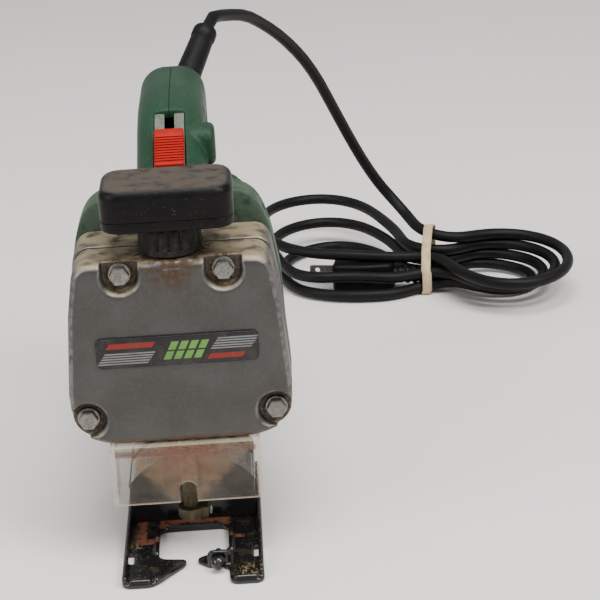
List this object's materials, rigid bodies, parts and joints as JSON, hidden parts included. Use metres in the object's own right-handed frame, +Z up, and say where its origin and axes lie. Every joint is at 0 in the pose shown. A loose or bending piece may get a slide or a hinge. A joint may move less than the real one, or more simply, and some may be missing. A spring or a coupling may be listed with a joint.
{
  "type": "scroller jigsaw",
  "caption": "Corded scroller jigsaw with D handle, cast gear housing, scrolling knob, clear chip shield, tilting open-front shoe, and a coiled mains cord with two-prong plug.",
  "frame": {"origin": "on the surface under the middle of the tool's own box, without the cord", "axes": "+Z up, -Y towards the front where the blade cuts, +X towards the tool's left side"},
  "size_m": [0.2899, 0.509, 0.2073],
  "materials": {
    "cast_aluminium": "bare die casting, dull and dusty",
    "green_plastic": "fine moulded grain",
    "black_plastic": "satin moulding",
    "red_plastic": "satin moulding with ribs",
    "clear_plastic": "clear acrylic, dusty",
    "black_paint": "gloss black paint, worn at the edges",
    "zinc_steel": "dull zinc plate",
    "greasy_steel": "steel with oil and fine dust",
    "gear_steel": "machined steel",
    "copper": "enamelled copper",
    "bronze": "sintered bronze",
    "carbon": "pressed carbon",
    "insulation": "moulded insulation",
    "cord_rubber": "satin rubber jacket"
  },
  "bodies": {
    "housing": {"front_cover": "cast_aluminium", "gear_housing": "cast_aluminium", "cover_screw_1": "zinc_steel", "cover_screw_2": "zinc_steel", "cover_screw_3": "zinc_steel", "cover_screw_4": "zinc_steel", "name_plate": "black_plastic", "plunger_bushing": "bronze", "gear_axle": "gear_steel", "front_bearing": "gear_steel", "rear_bearing": "gear_steel", "field_core": "gear_steel", "field_coil_upper": "copper", "field_coil_lower": "copper", "brush_left": "carbon", "brush_right": "carbon", "brush_holder_left": "bronze", "brush_holder_right": "bronze", "left_shell": "green_plastic", "right_shell": "green_plastic", "shell_screw_1": "zinc_steel", "shell_screw_2": "zinc_steel", "shell_screw_3": "zinc_steel", "shell_screw_4": "zinc_steel", "switch_plate": "greasy_steel", "switch_body": "insulation", "chip_shield": "clear_plastic", "tilt_screw": "zinc_steel", "tilt_washer": "zinc_steel", "strain_relief": "cord_rubber", "cord_lead": "cord_rubber", "cord_hank": "cord_rubber", "plug_body": "cord_rubber", "plug_prong_1": "gear_steel", "plug_prong_2": "gear_steel"},
    "scroller": {"knob_cap": "black_plastic", "knob_base": "black_plastic", "scroller_sleeve": "gear_steel"},
    "plunger_rod": {"plunger": "greasy_steel", "blade_clamp": "greasy_steel", "blade_clamp_screw": "zinc_steel"},
    "yoke": {"crank_yoke": "gear_steel"},
    "collar": {"lock_collar": "black_plastic"},
    "crank_gear": {"drive_gear": "gear_steel"},
    "armature": {"armature_shaft": "gear_steel", "armature_core": "gear_steel", "commutator": "copper", "cooling_fan": "black_plastic"},
    "switch_button": {"slide_button": "red_plastic"},
    "shoe_plate": {"shoe": "black_paint", "shoe_bracket": "black_paint"},
    "guide_screw": {"fence_clamp_screw": "zinc_steel"}
  },
  "joints": [
    {"name": "knob_scroll", "type": "hinge", "parent": "housing", "child": "scroller", "pos_m": [0, -0.076, 0.175], "axis": [0, 0, 1], "continuous": true},
    {"name": "plunger_stroke", "type": "slide", "parent": "scroller", "child": "plunger_rod", "axis": [0, 0, 1], "range_m": [-0.0085, 0.0085]},
    {"name": "yoke_stroke", "type": "slide", "parent": "housing", "child": "yoke", "axis": [0, 0, 1], "range_m": [-0.0085, 0.0085]},
    {"name": "collar_lock", "type": "hinge", "parent": "housing", "child": "collar", "pos_m": [0, -0.076, 0.157], "axis": [0, 0, 1], "range_deg": [0, 60]},
    {"name": "armature_spin", "type": "hinge", "parent": "housing", "child": "armature", "pos_m": [0, 0, 0.098], "axis": [0, 1, 0], "continuous": true},
    {"name": "drive_gear_turn", "type": "hinge", "parent": "housing", "child": "crank_gear", "pos_m": [0, -0.056, 0.122], "axis": [0, 1, 0], "continuous": true},
    {"name": "switch_slide", "type": "slide", "parent": "housing", "child": "switch_button", "axis": [0, 0.9196, 0.3929], "range_m": [0, 0.008]},
    {"name": "shoe_tilt", "type": "hinge", "parent": "housing", "child": "shoe_plate", "pos_m": [0, -0.031, 0], "axis": [0, 1, 0], "range_deg": [-45, 45]},
    {"name": "guide_screw_turn", "type": "hinge", "parent": "shoe_plate", "child": "guide_screw", "pos_m": [0.0118, -0.106, 0.0048], "axis": [0, 1, 0], "range_deg": [-180, 180]}
  ],
  "couplings": [
    {"joint": "yoke_stroke", "follows": "plunger_stroke", "ratio": 1},
    {"joint": "drive_gear_turn", "follows": "armature_spin", "ratio": -0.26316}
  ]
}
